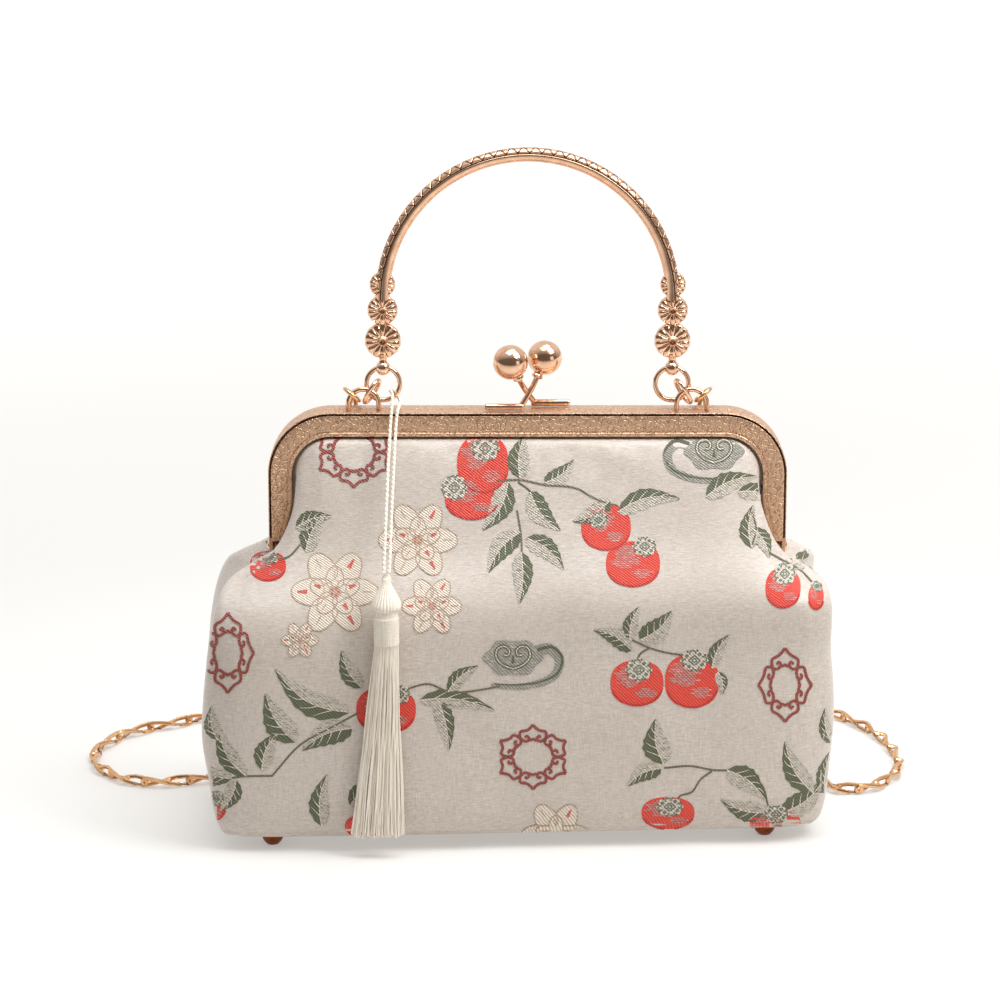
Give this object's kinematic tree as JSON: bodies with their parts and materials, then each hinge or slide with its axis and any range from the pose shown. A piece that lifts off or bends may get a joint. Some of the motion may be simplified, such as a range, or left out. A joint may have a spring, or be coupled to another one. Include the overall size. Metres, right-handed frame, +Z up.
{
  "type": "chinese embroidered purse with kiss-lock frame, arched handle, shoulder chain and tassel",
  "caption": "Soft brocade frame purse with ball clasp, arched metal handle, hanging tassel and a shoulder chain laid on the table behind it.",
  "frame": {"origin": "middle of the whole object's footprint, laid-out chain included, on the surface that it stands on", "axes": "+X along the frame's width, to the right seen from the front; +Y towards the purse's back, where the chain lies; +Z up"},
  "size_m": [0.304, 0.2232, 0.2386],
  "materials": {
    "brocade": "satin-ground brocade with woven persimmons, leaves and cloud rings",
    "rose_gold_satin": "satin rose gold plate, engraved",
    "rose_gold_polished": "polished rose gold plate",
    "chain_gold": "polished yellow rose gold plate",
    "copper_foot": "polished dark copper plate",
    "ivory_thread": "lustrous ivory silk-like thread"
  },
  "bodies": {
    "purse": {"bag_body": "brocade", "frame_front": "rose_gold_satin", "frame_back": "rose_gold_satin", "clasp_front": "rose_gold_polished", "clasp_back": "rose_gold_polished", "hinge_rivet_right": "rose_gold_polished", "hinge_rivet_left": "rose_gold_polished", "ear_right": "rose_gold_polished", "ear_left": "rose_gold_polished", "link_right": "rose_gold_polished", "link_left": "rose_gold_polished", "handle_ring_right": "rose_gold_polished", "handle_ring_left": "rose_gold_polished", "chain_end_right": "chain_gold", "chain_end_left": "chain_gold", "foot_front_left": "copper_foot", "foot_front_right": "copper_foot", "foot_back_left": "copper_foot", "foot_back_right": "copper_foot", "chain_left": "chain_gold", "chain_right": "chain_gold", "tassel": "ivory_thread", "tassel_cord": "ivory_thread"},
    "handle": {"handle": "rose_gold_satin"}
  },
  "joints": [
    {"name": "handle_swing", "type": "hinge", "parent": "purse", "child": "handle", "pos_m": [0.01097, -0.06035, 0.16199], "axis": [1, 0, 0], "range_deg": [-105, 105]}
  ]
}
